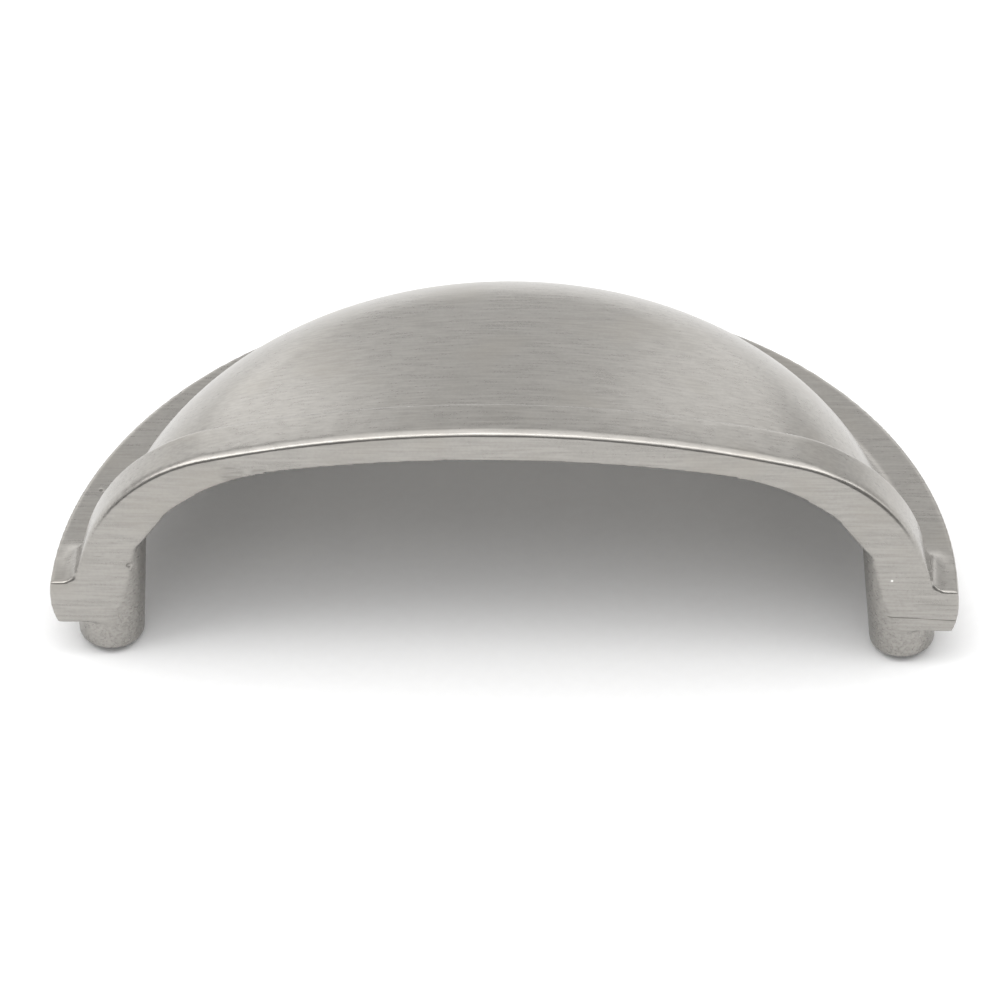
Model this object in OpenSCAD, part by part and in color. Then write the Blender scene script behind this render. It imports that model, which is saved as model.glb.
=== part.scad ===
// Cup pull for a drawer or cabinet door, cast in one piece.
// Origin: midway between the two screw holes, on the plane of the post ends.
// X runs along the pull, Y points to the crown of the arch, Z points away from the drawer.

/* [Fixing] */
// Distance between the two screw holes
hole_pitch = 76.2; // [73:0.1:78]
// Diameter of each post at its end
post_end_d = 6.3; // [5.8:0.1:6.6]
// Draft of each post, in degrees on each side
post_draft = 3; // [1:0.25:4]
// How far the posts stand out behind the back plate
post_stand = 3.7; // [1.5:0.1:6]
// Rounding around the post ends
post_round = 0.3; // [0.1:0.05:0.6]
// Height above the post end at which each post begins to flare into the hood
flare_at = 12.6; // [11.5:0.1:14]
// Slope of the flare, in degrees on each side
flare_turn = 30; // [20:1:32]
// Major diameter of the tapped holes
thread_d = 4.17; // [3.5:0.01:4.4]
// Depth of the tapped holes
thread_depth = 8; // [5:0.5:8.5]
// Width of the chamfer at the mouth of each tapped hole
thread_chamfer = 0.25; // [0.1:0.05:0.4]

/* [Back plate] */
// Radius of the arched outline
plate_r = 43.65; // [43:0.05:46]
// Thickness of the back plate
plate_t = 4.9; // [3.5:0.1:6]
// Radius of the bulged edge, seen in section
edge_r = 9; // [7:0.5:14]
// Height at which the edge bulges most, above the back of the plate
edge_level = 3.4; // [2.5:0.1:4]

/* [Hood] */
// Height of the mouth above the back of the plate
hood_h = 23.5; // [21:0.1:26]
// Radius of the wide curve over the top of the mouth
crown_r = 118; // [105:1:135]
// Angle at which the wide curve turns into the dome's shoulder
crown_turn = 13.7; // [12.5:0.1:14.5]
// Radius of the dome's shoulder
shoulder_r = 14.6; // [13.8:0.1:15.2]
// Angle at which the dome's shoulder turns into its straight leg
leg_turn = 72; // [70:0.5:75]
// Reach of the cove between the hood and the back plate
cove_reach = 1.1; // [0.6:0.05:1.5]

/* [Mouth] */
// Lean of the mouth face away from the screw axis, in degrees
mouth_lean = 4.1; // [2:0.1:5]
// Distance from the screw axis to the mouth face at the post ends
mouth_reach = 3.68; // [3.5:0.01:4.5]
// Width of the raised band around the mouth
band_w = 4.8; // [3:0.1:8]
// Height of the raised band above the dome behind it
band_step = 1.8; // [0.8:0.1:2]
// Angle at which the wide curve turns into the band's shoulder
band_turn = 13.95; // [13.5:0.05:14.3]
// Radius of the band's shoulder
band_shoulder_r = 16.5; // [16:0.1:17]
// Angle at which the band's shoulder turns into its straight leg
band_leg_turn = 75; // [73:0.5:78]

/* [Hollow] */
// Thickness of the lip at the middle of the mouth
lip_t = 3.3; // [2.5:0.1:4.2]
// Radius of the wide curve inside the hood
inner_crown_r = 139; // [125:1:150]
// Angle at which the inner curve turns into its shoulder
inner_turn = 9; // [8:0.1:9.5]
// Radius of the shoulder inside the hood
inner_shoulder_r = 19.2; // [18.5:0.1:20]

/* [Hidden] */
// The arched outline is centred a little in front of the mouth face
axis_lead = 0.18;
axis_y = -mouth_reach - axis_lead;
// Steepest part of the hood's inner wall, in degrees from the horizontal
inner_leg_turn = 88;
// Tip angle of the drill that made the tapped holes
drill_tip = 118;
// Half the size of the blocks that cut the mouth and trim the posts
block = 60;
// Length by which a cut runs past the face it opens
run_out = 1;
// Overlap that lets an arc cross its neighbours cleanly
lap = 0.01;
// Levels inside the back plate at which the hood's walls begin and up to which the posts aren't trimmed
root = plate_t / 2;
post_root = 3 * plate_t / 4;
// Radius of the cove, over that of a circle that only touches both faces
cove_spread = 1.25;
// Depth at which the corners of the cove's wedge are buried
cove_bury = 0.05;
round_steps = 6;
hole_r = thread_d / 2;
post_end_r = post_end_d / 2;
post_top = post_stand + hood_h;
flare_r = post_end_r + flare_at * tan(post_draft);
post_top_r = flare_r + (post_top - flare_at) * tan(flare_turn);
// The forms of the hood: height, radius and turn of the wide curve, radius and turn of the shoulder
band_form = [hood_h, crown_r, band_turn, band_shoulder_r, band_leg_turn];
dome_form = [hood_h - band_step, crown_r - band_step, crown_turn, shoulder_r, leg_turn];
inner_form = [hood_h - lip_t, inner_crown_r, inner_turn, inner_shoulder_r, inner_leg_turn];
// The posts end in the middle of the dome's wall
half_wall = (lip_t - band_step) / 2;
post_form = dome_form - [half_wall, half_wall, 0, half_wall, 0];

// The point at a distance and an angle from another
function polar(c, r, a) = [c[0] + r * cos(a), c[1] + r * sin(a)];

function crown_at(form) = [0, form[0] - form[1]];
function shoulder_at(form) = polar(crown_at(form), form[1] - form[3], 90 - form[2]);
function leg_top_at(form) = polar(shoulder_at(form), form[3], 90 - form[4]);
// The point of a form's leg at a level
function leg_at(form, level) = [leg_top_at(form)[0] + (leg_top_at(form)[1] - level) / tan(form[4]), level];

// Half of a form's section: a wide curve over the top, a shoulder and a straight leg down to foot
module arch_section(form, foot) {
    crown_c = crown_at(form);
    shoulder_c = shoulder_at(form);
    reach = 2 * form[1];
    low = foot - run_out;
    leg_top = leg_top_at(form);
    intersection() {
        translate([0, foot]) square([block, block]);
        union() {
            intersection() {
                translate(crown_c) circle(form[1], $fn = 192);
                polygon([crown_c, for (turn = [-1:1]) polar(crown_c, reach, 90 + turn * form[2])]);
            }
            translate(shoulder_c) circle(form[3] + lap, $fn = 192);
            polygon([[-run_out, low], leg_at(form, low), leg_top, shoulder_c, [-run_out, shoulder_c[1]]]);
        }
    }
}

// The cove at the foot of the hood, as a wedge hollowed by a circle that cuts a little into both faces
module cove_section(form) {
    foot = leg_at(form, plate_t);
    on_leg = polar(foot, cove_reach, 180 - form[4]);
    on_plate = polar(foot, cove_reach, 0);
    cove_r = cove_spread * cove_reach * tan(90 - form[4] / 2);
    half_chord = norm(on_leg - on_plate) / 2;
    rise = sqrt(cove_r * cove_r - half_chord * half_chord);
    cove_c = polar((on_leg + on_plate) / 2, rise, 90 - form[4] / 2);
    in_leg = polar(foot, cove_reach * cove_spread, 180 - form[4]) - [cove_bury, 0];
    in_plate = polar(foot, cove_reach * cove_spread, 0) - [0, cove_bury];
    difference() {
        polygon([in_leg, foot - [run_out, run_out], in_plate]);
        translate(cove_c) circle(cove_r, $fn = 96);
    }
}

// Turns a section through half a circle, from foot to foot
module revolve() {
    translate([0, axis_y, post_stand]) rotate_extrude(angle = 180, $fn = 192) children();
}

// A solid hood of a form, with the cove at its foot
module hood(form) {
    revolve() {
        arch_section(form, root);
        cove_section(form);
    }
}

module hollow() {
    revolve() arch_section(inner_form, -run_out);
}

// Everything below the middle of the dome's wall, which the posts run up into
module post_space() {
    revolve() arch_section(post_form, root);
    translate([-block, -block, -run_out]) cube([2 * block, 2 * block, run_out + post_stand + post_root]);
}

// The back plate with its bulged edge
module back_plate() {
    revolve() intersection() {
        square([plate_r + run_out, plate_t]);
        union() {
            square([plate_r - edge_r, plate_t]);
            translate([plate_r - edge_r, edge_level]) circle(edge_r, $fn = 192);
        }
    }
}

// Places children so that their XZ plane is the mouth face
module at_mouth() {
    translate([0, -mouth_reach, 0]) rotate([-mouth_lean, 0, 0]) children();
}

// Everything behind the mouth face
module behind_mouth() {
    at_mouth() translate([-block, 0, -block]) cube([2 * block, 2 * block, 2 * block]);
}

// The raised band around the mouth, solid
module band() {
    intersection() {
        hood(band_form);
        at_mouth() translate([-block, -run_out, -block]) cube([2 * block, band_w + run_out, 2 * block]);
    }
}

// A post with a rounded end, drafted and then flared up into the hood
module post() {
    round_c = [post_end_r - post_round, post_round];
    rotate_extrude($fn = 96) polygon(concat(
        [[0, 0]],
        [for (i = [0:round_steps]) polar(round_c, post_round, i * 90 / round_steps - 90)],
        [[flare_r, flare_at], [post_top_r, post_top], [0, post_top]]
    ));
}

// A blind tapped hole with a chamfered mouth and a drilled tip
module screw_hole() {
    tip = hole_r / tan(drill_tip / 2);
    translate([0, 0, -run_out]) cylinder(h = thread_depth + run_out, r = hole_r, $fn = 96);
    translate([0, 0, thread_depth]) cylinder(h = tip, r1 = hole_r, r2 = 0, $fn = 96);
    cylinder(h = thread_chamfer, r1 = hole_r + thread_chamfer, r2 = hole_r, $fn = 96);
}

module at_hole(side) {
    translate([side * hole_pitch / 2, 0, 0]) children();
}

module shell() {
    difference() {
        union() {
            hood(dome_form);
            band();
            back_plate();
        }
        hollow();
    }
}

// The posts, trimmed to end inside the dome's wall
module posts() {
    intersection() {
        for (side = [-1, 1]) at_hole(side) post();
        post_space();
    }
}

module cup_pull() {
    color("silver") difference() {
        intersection() {
            union() {
                shell();
                posts();
            }
            behind_mouth();
        }
        for (side = [-1, 1]) at_hole(side) screw_hole();
    }
}

cup_pull();
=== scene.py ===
"""A cast cup pull in satin nickel, lying on its back on a pale studio floor."""
import math

import bpy
from bpy.props import FloatProperty, FloatVectorProperty, IntProperty, PointerProperty
from bpy.types import Operator, Panel, PropertyGroup
from mathutils import Matrix, Vector


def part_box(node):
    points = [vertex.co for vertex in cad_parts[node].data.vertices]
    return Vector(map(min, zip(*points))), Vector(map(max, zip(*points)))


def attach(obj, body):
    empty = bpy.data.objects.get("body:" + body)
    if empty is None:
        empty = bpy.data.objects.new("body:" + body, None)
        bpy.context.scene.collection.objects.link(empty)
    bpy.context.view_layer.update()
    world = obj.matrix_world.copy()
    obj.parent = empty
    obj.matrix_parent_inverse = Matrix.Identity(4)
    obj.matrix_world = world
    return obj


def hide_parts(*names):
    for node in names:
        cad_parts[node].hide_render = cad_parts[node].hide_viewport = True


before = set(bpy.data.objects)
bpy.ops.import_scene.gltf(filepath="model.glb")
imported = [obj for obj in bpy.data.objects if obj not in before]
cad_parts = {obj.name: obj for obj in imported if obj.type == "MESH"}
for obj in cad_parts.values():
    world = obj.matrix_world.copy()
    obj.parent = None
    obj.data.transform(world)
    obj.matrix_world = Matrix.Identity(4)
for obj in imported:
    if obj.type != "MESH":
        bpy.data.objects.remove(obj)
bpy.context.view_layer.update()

bl_info = {
    "name": "Cup Pull",
    "version": (1, 0, 0),
    "blender": (4, 5, 0),
    "location": "3D View > Sidebar > Cup Pull",
    "description": "Finishes a cast cup pull and sets it up in a small studio",
    "category": "Object",
}

MM = 0.001
NODE = "cup_pull"
# Half the distance between the screw holes
HOLE_X = 38.1 * MM
# The mouth face leans away from the screw axis, and meets the plane of the post ends this far in front of it
MOUTH_LEAN = math.radians(4.1)
MOUTH_REACH = 3.68 * MM
# Height of the back plate's rear face, and the radius of its outline
PLATE_BACK = 3.7 * MM
PLATE_RADIUS = 43.65 * MM
# The raised band is turned about an upright axis just in front of the mouth: its height above the plate's
# rear face, the radius and turn of its wide curve, and the radius and turn of its shoulder
BAND_WIDTH = 4.8 * MM
AXIS_Y = -3.86 * MM
BAND_HEIGHT = 23.5 * MM
CROWN_RADIUS, CROWN_TURN = 118 * MM, math.radians(13.95)
SHOULDER_RADIUS, LEG_TURN = 16.5 * MM, math.radians(75)
# Heights at which the rounding of the band's edges starts and is full
BROW_START, BROW_FULL = 10 * MM, 13 * MM
# Where the band's rear corner runs out on the back plate: place, reach and how often it is smoothed
FOOT_CORNER = Vector((41.6, 1.0, 9.4)) * MM
FOOT_REACH = 3.6 * MM
FOOT_PASSES = 180
# Width over which that smoothing fades out towards the edge of the plate
EDGE_FADE = 0.6 * MM
# Points closer than this become one, in a copy of the solid and at the seams of the thread's ridge
SAME_POINT, SAME_SEAM = 0.0001 * MM, 0.001 * MM
# Half the width of the thread's ridge at its foot and at its crest, over the pitch, and its faces in a turn
RIDGE_FOOT, RIDGE_CREST, RIDGE_STEPS = 0.44, 0.1, 40

# Small marks of use and casting: place, width and depth in mm, and the way in which the metal is pushed
DENTS = (
    ((-35.6, -2.95, 10.75), 0.48, 0.45, (-1, 0.2, 0)),
    ((-39.49, 10.3, 8.6), 0.30, 0.09, (0, 0, -1)),
    ((-32.69, 24.68, 8.6), 0.26, 0.08, (0, 0, -1)),
)
# Heights between which the grain of the posts gives way to the brush lines of the hood
BRUSH_START, BRUSH_FULL = 4.5 * MM, 6.5 * MM
# Distances behind the mouth face between which its own marks end
MOUTH_SKIN, MOUTH_SKIN_END = 0.05 * MM, 0.3 * MM
# Shade painted on the floors of the dents: place and radius in mm, and strength
PAINTED_DENT_SHADE = (
    ((-39.49, 10.3, 8.55), 0.26, 0.8),
    ((-32.69, 24.68, 8.55), 0.2, 0.7),
    ((-35.95, -2.95, 10.8), 0.3, 0.6),
)
# Scratches across the feet: start, end and height in mm, slope and strength
SCRATCHES = (
    (35.8, 44.0, 5.56, 0.05, 0.7),
    (39.0, 44.0, 7.1, 0.02, 0.25),
    (-39.4, -37.9, 11.85, 0.0, 0.35),
    (-37.5, -36.3, 11.75, 0.0, 0.3),
    (-40.8, -39.6, 12.6, 0.0, 0.25),
    (-38.0, -36.6, 13.6, 0.02, 0.2),
)
# Distances from a scratch's line at which it is full and gone, and the length over which its ends taper
SCRATCH_FULL, SCRATCH_GONE, SCRATCH_TAPER = 0.05 * MM, 0.11 * MM, 0.8 * MM
# Dull smears on the lip, and a painted highlight on the right foot: place and radius in mm
SMEARS = (((-25.6, -2.1, 22.0), 1.5), ((-23.0, -2.1, 22.1), 1.1))
SMEAR_STRENGTH = 0.35
PAINTED_GLINT = ((37.21, -2.97, 9.93), 0.16)
# Colour of the scratches and smears, and of the shade painted into the dents
MARK_AND_SHADE_COLOUR = (0.12, 0.115, 0.105, 1.0)
# Colour of the highlight painted on the right foot
PAINTED_GLINT_COLOUR = (0.85, 0.84, 0.82, 1.0)

# The camera's distance from its aim, the aim, and the camera's shift across and up the picture
CAMERA_AWAY = 1156.07 * MM
CAMERA_AIM = Vector((0, -1.676489, 0)) * MM
CAMERA_ACROSS, CAMERA_UP = -0.561531 * MM, 13.852215 * MM
# The pull touches the floor under its posts, and this far before the rear edge of its crown
POST_TOUCH_Y = 2.9 * MM
CROWN_TOUCH = 0.67 * MM
FLOOR_SIZE, FLOOR_GAP = 6, 0.02 * MM
# Light that the floor adds of its own, so that it is white in the picture
FLOOR_LIFT = 0.055
# The room around the pull. Each zone has the least and greatest rise above the floor, the least and greatest
# angle away from straight behind the pull, in degrees, and the setting for its brightness, with a factor
ZONES = (
    (-6.0, 12.0, -99.0, 80.0, "horizon", 1.0),
    (12.0, 45.0, -99.0, 60.0, "wall", 1.0),
    (12.0, 50.0, 60.0, 120.0, "sides", 1.0),
    (12.0, 50.0, 120.0, 999.0, "front", 1.5),
    (-6.0, 12.0, 80.0, 999.0, "front", 1.0),
)
# The ceiling begins at this rise. Zones run into each other over this many degrees on both sides
CEILING_RISE, RISE_BLUR, ASIDE_BLUR = 50.0, 6.0, 12.0
# Softboxes: name, place, width and height in metres, and power in watts
SOFTBOXES = (
    ("side_left", (-0.985, -0.174, 0.42), 0.22, 0.6, 0.47),
    ("far_left", (-0.966, 0.259, 0.42), 0.22, 0.6, 0.43),
    ("back_left", (-0.36, 0.933, 0.42), 0.22, 0.6, 0.4),
    ("back_right", (0.225, 0.974, 0.42), 0.22, 0.6, 0.3),
    ("rear_left", (-0.64, 0.77, 0.42), 0.22, 0.6, 0.2),
    ("side_right", (0.966, 0.259, 0.42), 0.22, 0.6, 0.65),
    ("top_left", (-0.35, -0.15, 0.93), 0.2, 0.8, 1.5),
    ("top_right", (0.33, -0.1, 0.94), 0.2, 0.8, 1.1),
    ("high_left", (-0.68, 0.1, 0.75), 0.3, 0.6, 1.3),
    ("high_right", (0.68, 0.1, 0.75), 0.3, 0.6, 1.0),
)


class CastingSettings(PropertyGroup):
    """Shape and finish of the casting"""

    mesh_size: FloatProperty(
        name="Mesh Size", description="Spacing of the casting's mesh, over which its edges are rounded",
        default=0.19 * MM, min=0.15 * MM, max=1 * MM, unit="LENGTH", precision=5,
    )
    softness: IntProperty(
        name="Softness", description="How many times the casting's edges are smoothed",
        default=6, min=0, max=20,
    )
    triangles: IntProperty(
        name="Triangles", description="Most triangles that the casting may have",
        default=190000, min=20000, max=199000,
    )
    brow_reach: FloatProperty(
        name="Brow Reach", description="How far back over the band the rounding of the mouth's edge reaches",
        default=1.1 * MM, min=0.3 * MM, max=4 * MM, unit="LENGTH", precision=5,
    )
    brow_drop: FloatProperty(
        name="Brow Drop", description="How far down the mouth face the rounding of its outer edge reaches",
        default=0.36 * MM, min=0.1 * MM, max=1 * MM, unit="LENGTH", precision=5,
    )
    heel: FloatProperty(
        name="Band Rear Edge", description="Radius of the rounding along the rear edge of the raised band",
        default=0.6 * MM, min=0.3 * MM, max=1.6 * MM, unit="LENGTH", precision=5,
    )
    metal: FloatVectorProperty(
        name="Metal", description="Colour of the plated metal", size=3, subtype="COLOR",
        default=(0.354, 0.34, 0.319), min=0, max=1,
    )
    roughness: FloatProperty(
        name="Roughness", description="How much the satin finish spreads a reflection", subtype="FACTOR",
        default=0.28, min=0, max=1,
    )


class ThreadSettings(PropertyGroup):
    """Form of the two tapped threads"""

    pitch: FloatProperty(
        name="Pitch", description="Rise of the thread in one turn",
        default=0.794 * MM, min=0.4 * MM, max=1.5 * MM, unit="LENGTH", precision=5,
    )
    wall: FloatProperty(
        name="Wall Radius", description="Distance from the hole's axis to the foot of the thread's ridge",
        default=2.15 * MM, min=1.8 * MM, max=2.4 * MM, unit="LENGTH", precision=5,
    )
    start: FloatProperty(
        name="Start", description="Height of the ridge's first section above the post's end",
        default=0.65 * MM, min=0.5 * MM, max=2 * MM, unit="LENGTH", precision=5,
    )
    crest: FloatProperty(
        name="Crest Radius", description="Distance from the hole's axis to the thread's crest",
        default=1.73 * MM, min=1.4 * MM, max=2.0 * MM, unit="LENGTH", precision=5,
    )
    depth: FloatProperty(
        name="Depth", description="Length of the threaded part of each hole",
        default=6.5 * MM, min=3 * MM, max=8 * MM, unit="LENGTH", precision=5,
    )


class StudioSettings(PropertyGroup):
    """Camera, floor and lights"""

    elevation: FloatProperty(
        name="Elevation", description="Height of the camera above the plane of the post ends, as an angle",
        default=math.radians(42.105944), subtype="ANGLE",
    )
    turn: FloatProperty(
        name="Turn", description="Turn of the camera about the pull's upright axis",
        default=math.radians(-3.415249), subtype="ANGLE",
    )
    roll: FloatProperty(
        name="Roll", description="Roll of the camera about its own axis",
        default=math.radians(-1.699310), subtype="ANGLE",
    )
    lens: FloatProperty(
        name="Focal Length", description="Focal length of the camera, in millimetres",
        default=432, min=20, max=1000,
    )
    floor: FloatVectorProperty(
        name="Floor", description="Colour of the floor", size=3, subtype="COLOR",
        default=(0.93, 0.93, 0.93), min=0, max=1,
    )
    wall: FloatProperty(
        name="Back Wall", description="Brightness of the studio's wall behind the pull",
        default=0.88, min=0, max=2,
    )
    horizon: FloatProperty(
        name="Horizon", description="Brightness behind the pull just above the floor",
        default=0.98, min=0, max=2,
    )
    sides: FloatProperty(
        name="Side Walls", description="Brightness of the studio's walls beside the pull",
        default=0.33, min=0, max=2,
    )
    front: FloatProperty(
        name="Front", description="Brightness of the studio before the pull",
        default=0.22, min=0, max=2,
    )
    ceiling: FloatProperty(
        name="Ceiling", description="Brightness of the studio's ceiling",
        default=1.75, min=0, max=3,
    )
    softboxes: FloatProperty(
        name="Softboxes", description="Level of all the softboxes",
        default=1.0, min=0, max=4,
    )


def deselect():
    """Leaves nothing selected"""
    if bpy.context.object and bpy.context.object.mode != "OBJECT":
        bpy.ops.object.mode_set(mode="OBJECT")
    bpy.ops.object.select_all(action="DESELECT")


def pick(obj):
    """Makes obj the only selected object, and the active one"""
    deselect()
    obj.select_set(True)
    bpy.context.view_layer.objects.active = obj


def apply_modifier(obj, kind, **settings):
    """Adds a modifier with these settings and applies it"""
    pick(obj)
    modifier = obj.modifiers.new(kind.title(), kind)
    for name, value in settings.items():
        setattr(modifier, name, value)
    bpy.ops.object.modifier_apply(modifier=modifier.name)


def under_band(place):
    """Depth of a point below the raised band's surface, and the way out of that surface there"""
    across, along = place.x, place.y - AXIS_Y
    out = math.hypot(across, along)
    up = place.z - PLATE_BACK
    centre_out, centre_up, radius = 0.0, BAND_HEIGHT - CROWN_RADIUS, CROWN_RADIUS
    turn = math.atan2(out, up - centre_up)
    if turn > CROWN_TURN:
        centre_out = (CROWN_RADIUS - SHOULDER_RADIUS) * math.sin(CROWN_TURN)
        centre_up += (CROWN_RADIUS - SHOULDER_RADIUS) * math.cos(CROWN_TURN)
        radius = SHOULDER_RADIUS
        turn = min(math.atan2(out - centre_out, up - centre_up), LEG_TURN)
    depth = radius - (out - centre_out) * math.sin(turn) - (up - centre_up) * math.cos(turn)
    # A point on the axis itself must not divide by nothing
    flat = math.sin(turn) / max(out, SAME_POINT)
    return depth, Vector((across * flat, along * flat, math.cos(turn)))


def round_band(obj, edge, side, reach, drop):
    """Rounds an edge of the band, at a distance behind the mouth, into a quarter of an ellipse"""
    inward = Vector((0, math.cos(MOUTH_LEAN), -math.sin(MOUTH_LEAN)))
    mouth = Vector((0, -MOUTH_REACH, 0))
    for vertex in obj.data.vertices:
        inside = side * ((vertex.co - mouth).dot(inward) - edge)
        if not -reach < inside < reach or vertex.co.z < BROW_START:
            continue
        depth, outward = under_band(vertex.co)
        # The mesh may stand a little proud of the band's true surface
        if not -0.5 * drop < depth < drop:
            continue
        far, low = 1 - max(inside, 0) / reach, 1 - max(depth, 0) / drop
        shrink = 1 - 1 / max(math.hypot(far, low), 1)
        shrink *= min((vertex.co.z - BROW_START) / (BROW_FULL - BROW_START), 1)
        vertex.co += shrink * (side * far * reach * inward - low * drop * outward)


def soften_feet(obj):
    """Melts the rear corners of the band's feet into the back plate, whose own edge stays as it is"""
    group = obj.vertex_groups.new(name="feet")
    for vertex in obj.data.vertices:
        place = Vector((abs(vertex.co.x), vertex.co.y, vertex.co.z))
        near = 1 - (place - FOOT_CORNER).length / FOOT_REACH
        inside = (PLATE_RADIUS - math.hypot(place.x, place.y - AXIS_Y)) / EDGE_FADE - 0.5
        if near > 0 and inside > 0:
            group.add([vertex.index], min(1, 2 * near) * min(1, inside), "REPLACE")
    apply_modifier(obj, "SMOOTH", factor=0.5, iterations=FOOT_PASSES, vertex_group="feet")
    obj.vertex_groups.clear()


def dent(obj, place, width, depth, way):
    """Pushes the surface around a place in, most at the middle"""
    centre, push = Vector(place) * MM, Vector(way) * depth * MM
    for vertex in obj.data.vertices:
        near = (vertex.co - centre).length / (width * MM)
        if near < 1:
            vertex.co += (1 - near * near) ** 2 * push


class Nodes:
    """A small helper that adds and links the nodes of one tree"""

    def __init__(self, tree):
        self.tree = tree
        tree.nodes.clear()

    def add(self, kind, inputs=None, **settings):
        """Adds a node. An input that is a socket is linked, and any other is a value"""
        node = self.tree.nodes.new(kind)
        for name, value in settings.items():
            setattr(node, name, value)
        for key, value in (inputs or {}).items():
            if isinstance(value, bpy.types.NodeSocket):
                self.tree.links.new(value, node.inputs[key])
            else:
                node.inputs[key].default_value = value
        return node

    def math(self, operation, a, b=0.0):
        return self.add("ShaderNodeMath", {0: a, 1: b}, operation=operation).outputs[0]

    def between(self, value, low, high, to_low=0.0, to_high=1.0):
        """Maps a value smoothly from one range to another"""
        return self.add(
            "ShaderNodeMapRange",
            {"Value": value, "From Min": low, "From Max": high, "To Min": to_low, "To Max": to_high},
            interpolation_type="SMOOTHSTEP",
        ).outputs["Result"]

    def within(self, value, low, high, blur):
        """1 between low and high and 0 outside, with a step of this blur on both sides of each"""
        risen = self.between(value, low - blur, low + blur)
        fallen = self.between(value, high - blur, high + blur, 1.0, 0.0)
        return self.math("MULTIPLY", risen, fallen)

    def noise(self, place, scale, detail):
        """Noise with a scale for each axis, in features to the metre"""
        spread = self.add("ShaderNodeMapping", {"Vector": place, "Scale": scale}).outputs[0]
        settings = {"Vector": spread, "Scale": 1.0, "Detail": detail}
        return self.add("ShaderNodeTexNoise", settings).outputs["Fac"]

    def mix_colour(self, share, a, b):
        return self.add("ShaderNodeMix", {0: share, 6: a, 7: b}, data_type="RGBA").outputs[2]


def shade(colour, factor):
    """A colour made darker or lighter, with its alpha"""
    return (*(min(1, c * factor) for c in colour), 1.0)


def speck(n, place, centre, radius):
    """A round spot on the surface, 1 at its middle and 0 outside it, with its place and radius in mm"""
    away = n.add("ShaderNodeVectorMath", {0: place, 1: [c * MM for c in centre]}, operation="DISTANCE")
    return n.between(away.outputs["Value"], 0.5 * radius * MM, radius * MM, 1.0, 0.0)


def scratch(n, axes, lines, start, end, height, slope):
    """A fine scratch along the pull from start to end, at a height that falls with slope, all in mm"""
    fall = n.math("MULTIPLY", n.math("SUBTRACT", axes["X"], start * MM), slope)
    off = n.math("ABSOLUTE", n.math("SUBTRACT", n.math("ADD", axes["Z"], fall), height * MM))
    # The brush lines make its sides ragged
    off = n.math("ADD", off, n.math("MULTIPLY", n.between(lines, 0.35, 0.65), SCRATCH_FULL))
    on_line = n.between(off, SCRATCH_FULL, SCRATCH_GONE, 1.0, 0.0)
    half = SCRATCH_TAPER / 2
    return n.math("MULTIPLY", on_line, n.within(axes["X"], start * MM + half, end * MM - half, half))


def brushed_skin(n, place, axes):
    """The skin's fine pattern, the brush lines alone, and where the mouth face is"""
    # Distance behind the mouth face
    behind = n.math("ADD", n.math("MULTIPLY", axes["Y"], math.cos(MOUTH_LEAN)),
                    n.math("MULTIPLY", axes["Z"], -math.sin(MOUTH_LEAN)))
    behind = n.math("ADD", behind, MOUTH_REACH * math.cos(MOUTH_LEAN))
    on_mouth = n.between(behind, MOUTH_SKIN, MOUTH_SKIN_END, 1.0, 0.0)
    brushed = n.math("MAXIMUM", n.between(axes["Z"], BRUSH_START, BRUSH_FULL), on_mouth)

    # Brush lines run along the pull; the grain is the cast skin under the plating
    narrow = n.noise(place, (260.0, 3600.0, 3600.0), 1.0)
    wide = n.noise(place, (30.0, 900.0, 900.0), 2.0)
    lines = n.math("ADD", n.math("MULTIPLY", narrow, 0.85), n.math("MULTIPLY", wide, 0.15))
    grain = n.noise(place, (3300.0, 3300.0, 3300.0), 1.0)
    share = n.math("MULTIPLY", brushed, 0.75)
    fine = n.add("ShaderNodeMix", {0: share, 2: grain, 3: lines}, data_type="FLOAT").outputs[0]
    return fine, lines, on_mouth


def marks_and_painted_shade(n, place, axes, lines, on_mouth):
    """Scratches across the feet, shade painted on the floors of the dents and dull smears on the lip"""
    marks = 0.0
    for start, end, height, slope, amount in SCRATCHES:
        line = scratch(n, axes, lines, start, end, height, slope)
        marks = n.math("MAXIMUM", marks, n.math("MULTIPLY", n.math("MULTIPLY", line, on_mouth), amount))
    for centre, radius, amount in PAINTED_DENT_SHADE:
        marks = n.math("MAXIMUM", marks, n.math("MULTIPLY", speck(n, place, centre, radius), amount))
    smears = 0.0
    for centre, radius in SMEARS:
        smears = n.math("MAXIMUM", smears, speck(n, place, centre, radius))
    smears = n.math("MULTIPLY", smears, n.between(lines, 0.42, 0.6))
    return n.math("MAXIMUM", marks, n.math("MULTIPLY", smears, SMEAR_STRENGTH))


def metal_shader(n, colour, rough, height, depth):
    """Finishes a metal's tree with its colour, its roughness and a bump of this depth"""
    bump = n.add("ShaderNodeBump", {"Height": height, "Distance": depth, "Strength": 0.3})
    shader = n.add("ShaderNodeBsdfPrincipled", {
        "Base Color": colour, "Metallic": 1.0, "Roughness": rough, "Normal": bump.outputs[0],
    })
    n.add("ShaderNodeOutputMaterial", {"Surface": shader.outputs[0]})


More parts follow.
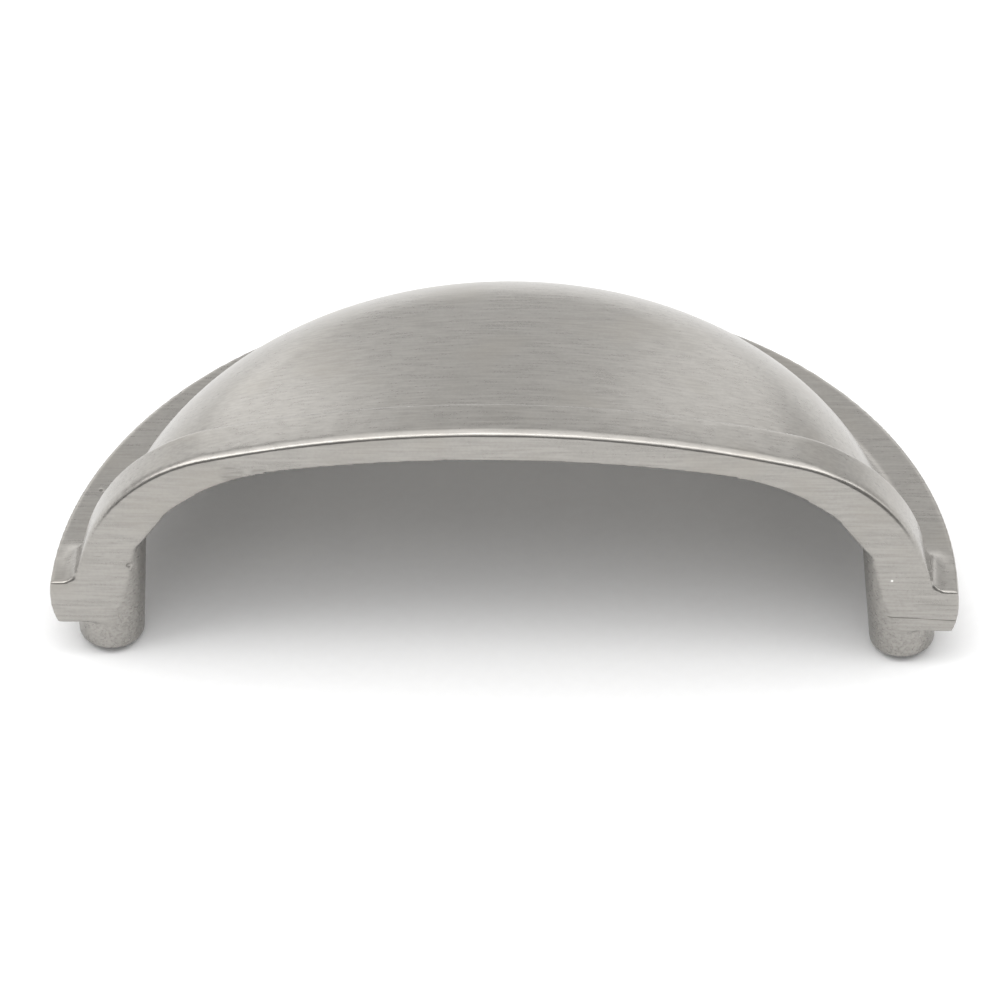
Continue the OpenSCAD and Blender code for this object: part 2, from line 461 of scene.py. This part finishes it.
def satin_nickel(name, settings):
    """Satin plated metal: brush lines on the hood, a soft grain on the posts, patches and small marks, with
    shade painted into the dents and a highlight painted on the right foot
    """
    material = bpy.data.materials.new(name)
    material.use_nodes = True
    n = Nodes(material.node_tree)
    place = n.add("ShaderNodeTexCoord").outputs["Object"]
    axes = n.add("ShaderNodeSeparateXYZ", {0: place}).outputs
    fine, lines, on_mouth = brushed_skin(n, place, axes)
    marks = marks_and_painted_shade(n, place, axes, lines, on_mouth)
    patches = n.noise(place, (120.0, 120.0, 120.0), 3.0)

    metal = settings.metal
    warm = (metal[0] * 1.01, metal[1] * 0.99, metal[2] * 0.955, 1.0)
    colour = n.mix_colour(n.between(fine, 0.3, 0.7), shade(metal, 0.9), shade(metal, 1.1))
    colour = n.mix_colour(n.between(patches, 0.5, 0.75, 0.0, 0.5), colour, warm)
    # Scratches and smears, and the shade painted into the dents
    colour = n.mix_colour(marks, colour, MARK_AND_SHADE_COLOUR)
    # The highlight painted on the right foot
    colour = n.mix_colour(speck(n, place, *PAINTED_GLINT), colour, PAINTED_GLINT_COLOUR)
    rough = n.math("ADD", n.math("MULTIPLY", fine, 0.06), settings.roughness - 0.03)
    rough = n.math("ADD", rough, n.between(patches, 0.5, 0.75, 0.0, 0.03))
    rough = n.math("ADD", rough, n.math("MULTIPLY", marks, 0.15))
    height = n.math("SUBTRACT", n.math("MULTIPLY", fine, 0.6), marks)
    metal_shader(n, colour, rough, height, 0.003 * MM)
    return material


def tapped_metal(name, settings):
    """The threads' plated metal, a little duller, with the tap's marks round the hole"""
    material = bpy.data.materials.new(name)
    material.use_nodes = True
    n = Nodes(material.node_tree)
    place = n.add("ShaderNodeTexCoord").outputs["Object"]
    rings = n.noise(place, (300.0, 300.0, 9000.0), 3.0)
    colour = n.mix_colour(n.between(rings, 0.3, 0.7), shade(settings.metal, 0.7), shade(settings.metal, 0.85))
    rough = n.math("ADD", n.math("MULTIPLY", rings, 0.1), settings.roughness)
    metal_shader(n, colour, rough, rings, 0.01 * MM)
    return material


class CUPPULL_OT_casting(Operator):
    """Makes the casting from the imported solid, rounds its edges and plates it"""

    bl_idname = "cup_pull.casting"
    bl_label = "Casting"

    def execute(self, context):
        settings = context.scene.casting_settings
        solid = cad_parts[NODE]
        casting = bpy.data.objects.new("casting", solid.data.copy())
        context.scene.collection.objects.link(casting)
        pick(casting)
        bpy.ops.object.mode_set(mode="EDIT")
        bpy.ops.mesh.select_all(action="SELECT")
        bpy.ops.mesh.remove_doubles(threshold=SAME_POINT)
        bpy.ops.object.mode_set(mode="OBJECT")
        apply_modifier(casting, "REMESH", mode="VOXEL", voxel_size=settings.mesh_size)
        apply_modifier(casting, "SMOOTH", factor=0.5, iterations=settings.softness)
        round_band(casting, 0, 1, settings.brow_reach, settings.brow_drop)
        round_band(casting, BAND_WIDTH, -1, settings.heel, settings.heel)
        soften_feet(casting)
        for mark in DENTS:
            dent(casting, *mark)
        pick(casting)
        bpy.ops.object.shade_smooth()
        self.lighten(casting, settings.triangles)
        casting.data.materials.clear()
        casting.data.materials.append(satin_nickel("satin_nickel", settings))
        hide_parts(NODE)
        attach(casting, "root")
        return {"FINISHED"}

    def lighten(self, casting, triangles):
        """Leaves about this many triangles, with the shading of the fine mesh"""
        fine = bpy.data.objects.new("fine", casting.data.copy())
        bpy.context.scene.collection.objects.link(fine)
        # The fine mesh is all quads
        full = 2 * len(casting.data.polygons)
        apply_modifier(casting, "DECIMATE", ratio=min(1, triangles / full))
        apply_modifier(
            casting, "DATA_TRANSFER", object=fine, use_loop_data=True, data_types_loops={"CUSTOM_NORMAL"},
            loop_mapping="POLYINTERP_NEAREST",
        )
        bpy.data.objects.remove(fine)


class CUPPULL_OT_threads(Operator):
    """Winds the thread's ridge up each of the two tapped holes"""

    bl_idname = "cup_pull.threads"
    bl_label = "Tapped Threads"

    def execute(self, context):
        settings = context.scene.thread_settings
        ridge = self.ridge(settings)
        ridge.data.materials.append(tapped_metal("tapped_metal", context.scene.casting_settings))
        for name, side in (("thread_left", -1), ("thread_right", 1)):
            pick(ridge)
            bpy.ops.object.duplicate()
            thread = bpy.context.object
            thread.name = name
            thread.location.x = side * HOLE_X
            bpy.ops.object.transform_apply(location=True, rotation=True, scale=True)
            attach(thread, "root")
        bpy.data.objects.remove(ridge)
        return {"FINISHED"}

    def ridge(self, settings):
        """The ridge, wound about the upright axis through the origin"""
        deselect()
        bpy.ops.mesh.primitive_plane_add(size=2)
        ridge = bpy.context.object
        # A flat-topped vee: its wide side is sunk in the hole's wall, and its narrow side is the crest
        for vertex in ridge.data.vertices:
            on_wall = vertex.co.x > 0
            half = (RIDGE_FOOT if on_wall else RIDGE_CREST) * settings.pitch
            side = math.copysign(half, vertex.co.y)
            vertex.co = (settings.wall if on_wall else settings.crest, 0, settings.start + side)
        bpy.ops.object.mode_set(mode="EDIT")
        bpy.ops.mesh.select_all(action="SELECT")
        bpy.ops.mesh.delete(type="ONLY_FACE")
        bpy.ops.object.mode_set(mode="OBJECT")
        turns = int(settings.depth / settings.pitch)
        apply_modifier(
            ridge, "SCREW", angle=math.tau, screw_offset=settings.pitch, iterations=turns,
            steps=RIDGE_STEPS, render_steps=RIDGE_STEPS,
        )
        bpy.ops.object.mode_set(mode="EDIT")
        bpy.ops.mesh.select_all(action="SELECT")
        bpy.ops.mesh.remove_doubles(threshold=SAME_SEAM)
        # Closes the ridge's two ends
        bpy.ops.mesh.fill_holes(sides=4)
        bpy.ops.mesh.select_all(action="SELECT")
        bpy.ops.mesh.normals_make_consistent(inside=False)
        bpy.ops.object.mode_set(mode="OBJECT")
        bpy.ops.object.shade_smooth_by_angle(angle=math.radians(30))
        return ridge


class CUPPULL_OT_studio(Operator):
    """Sets up the camera, the floor and the lights"""

    bl_idname = "cup_pull.studio"
    bl_label = "Studio"

    def execute(self, context):
        settings = context.scene.studio_settings
        self.camera(settings)
        self.floor(settings)
        self.room(settings)
        for name, place, width, height, power in SOFTBOXES:
            self.softbox("softbox_" + name, place, width, height, power * settings.softboxes)
        context.scene.view_settings.view_transform = "Standard"
        return {"FINISHED"}

    def camera(self, settings):
        """A long lens, high in front of the pull"""
        down, turn, roll = settings.elevation, settings.turn, settings.roll
        level = math.cos(down)
        forward = Vector((math.sin(turn) * level, math.cos(turn) * level, -math.sin(down)))
        right = Vector((math.cos(turn), -math.sin(turn), 0))
        up = right.cross(forward)
        across = math.cos(roll) * right + math.sin(roll) * up
        above = -math.sin(roll) * right + math.cos(roll) * up
        place = CAMERA_AIM - CAMERA_AWAY * forward + CAMERA_ACROSS * across + CAMERA_UP * above
        data = bpy.data.cameras.new("camera")
        data.lens, data.sensor_width = settings.lens, 36
        data.clip_start, data.clip_end = 0.01, 20
        camera = bpy.data.objects.new("camera", data)
        bpy.context.scene.collection.objects.link(camera)
        camera.matrix_world = Matrix((
            (across.x, above.x, -forward.x, place.x),
            (across.y, above.y, -forward.y, place.y),
            (across.z, above.z, -forward.z, place.z),
            (0, 0, 0, 1),
        ))
        bpy.context.scene.camera = camera

    def floor(self, settings):
        """A flat floor, tilted to touch the post ends and the rear edge of the crown"""
        crown_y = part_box(NODE)[1].y - CROWN_TOUCH
        tilt = math.atan2(PLATE_BACK, crown_y - POST_TOUCH_Y)
        deselect()
        bpy.ops.mesh.primitive_plane_add(
            size=FLOOR_SIZE, location=(0, POST_TOUCH_Y, 0), rotation=(tilt, 0, 0),
        )
        floor = bpy.context.object
        floor.name = "floor"
        bpy.ops.object.transform_apply(location=True, rotation=True, scale=True)
        floor.location.z = -FLOOR_GAP
        floor.data.materials.append(self.paper(settings.floor))

    def paper(self, colour):
        """The floor's white paper, with a faint grain"""
        material = bpy.data.materials.new("floor_paper")
        material.use_nodes = True
        n = Nodes(material.node_tree)
        grain = n.noise(n.add("ShaderNodeTexCoord").outputs["Object"], (900.0, 900.0, 900.0), 3.0)
        grained = n.mix_colour(n.between(grain, 0.3, 0.7), shade(colour, 1), shade(colour, 0.985))
        paper = n.add("ShaderNodeBsdfDiffuse", {"Color": grained})
        # The lift is seen in the picture and in the metal, and lights nothing
        lift = n.add("ShaderNodeEmission", {"Color": (1, 1, 1, 1), "Strength": FLOOR_LIFT})
        path = n.add("ShaderNodeLightPath").outputs
        seen = n.math("MAXIMUM", path["Is Camera Ray"], path["Is Glossy Ray"])
        seen = n.math("MAXIMUM", seen, path["Is Transmission Ray"])
        nothing = n.add("ShaderNodeEmission", {"Strength": 0.0})
        lifted = n.add("ShaderNodeMixShader", {0: seen, 1: nothing.outputs[0], 2: lift.outputs[0]})
        both = n.add("ShaderNodeAddShader", {0: paper.outputs[0], 1: lifted.outputs[0]})
        n.add("ShaderNodeOutputMaterial", {"Surface": both.outputs[0]})
        return material

    def room(self, settings):
        """The walls and the ceiling, as the light that the world gives from each side"""
        world = bpy.data.worlds.new("studio")
        bpy.context.scene.world = world
        world.use_nodes = True
        n = Nodes(world.node_tree)
        way = n.add("ShaderNodeSeparateXYZ", {0: n.add("ShaderNodeTexCoord").outputs["Generated"]}).outputs
        rise = n.math("DEGREES", n.math("ARCSINE", way["Z"]))
        # Angle away from straight behind the pull
        aside = n.math("DEGREES", n.math("ABSOLUTE", n.math("ARCTAN2", way["X"], way["Y"])))
        overhead = n.between(rise, CEILING_RISE - RISE_BLUR, CEILING_RISE + RISE_BLUR)
        level = n.math("MULTIPLY", overhead, settings.ceiling)
        for low, high, near, far, zone, factor in ZONES:
            part = n.math(
                "MULTIPLY", n.within(rise, low, high, RISE_BLUR), n.within(aside, near, far, ASIDE_BLUR),
            )
            level = n.math("ADD", level, n.math("MULTIPLY", part, factor * getattr(settings, zone)))
        studio = n.add("ShaderNodeBackground", {"Color": (1, 1, 1, 1), "Strength": level})
        n.add("ShaderNodeOutputWorld", {"Surface": studio.outputs[0]})

    def softbox(self, name, place, width, height, power):
        """A rectangular lamp that faces the origin"""
        data = bpy.data.lights.new(name, "AREA")
        data.shape, data.size, data.size_y, data.energy = "RECTANGLE", width, height, power
        lamp = bpy.data.objects.new(name, data)
        bpy.context.scene.collection.objects.link(lamp)
        lamp.location = place
        lamp.rotation_mode = "QUATERNION"
        lamp.rotation_quaternion = (-Vector(place)).to_track_quat("-Z", "Y")


class CUPPULL_PT_panel(Panel):
    """Lists the settings and the steps that make the pull"""

    bl_label = "Cup Pull"
    bl_idname = "CUPPULL_PT_panel"
    bl_space_type = "VIEW_3D"
    bl_region_type = "UI"
    bl_category = "Cup Pull"

    def draw(self, context):
        scene = context.scene
        for label, settings, operator in (
            ("Casting", scene.casting_settings, CUPPULL_OT_casting),
            ("Tapped Threads", scene.thread_settings, CUPPULL_OT_threads),
            ("Studio", scene.studio_settings, CUPPULL_OT_studio),
        ):
            box = self.layout.box()
            box.label(text=label)
            for name in settings.__annotations__:
                box.prop(settings, name)
            box.operator(operator.bl_idname)


CLASSES = (
    CastingSettings, ThreadSettings, StudioSettings,
    CUPPULL_OT_casting, CUPPULL_OT_threads, CUPPULL_OT_studio, CUPPULL_PT_panel,
)


def register():
    for cls in CLASSES:
        bpy.utils.register_class(cls)
    bpy.types.Scene.casting_settings = PointerProperty(type=CastingSettings)
    bpy.types.Scene.thread_settings = PointerProperty(type=ThreadSettings)
    bpy.types.Scene.studio_settings = PointerProperty(type=StudioSettings)


def unregister():
    del bpy.types.Scene.studio_settings
    del bpy.types.Scene.thread_settings
    del bpy.types.Scene.casting_settings
    for cls in reversed(CLASSES):
        bpy.utils.unregister_class(cls)


def main():
    register()
    bpy.ops.cup_pull.casting()
    bpy.ops.cup_pull.threads()
    bpy.ops.cup_pull.studio()


if __name__ == "__main__":
    main()
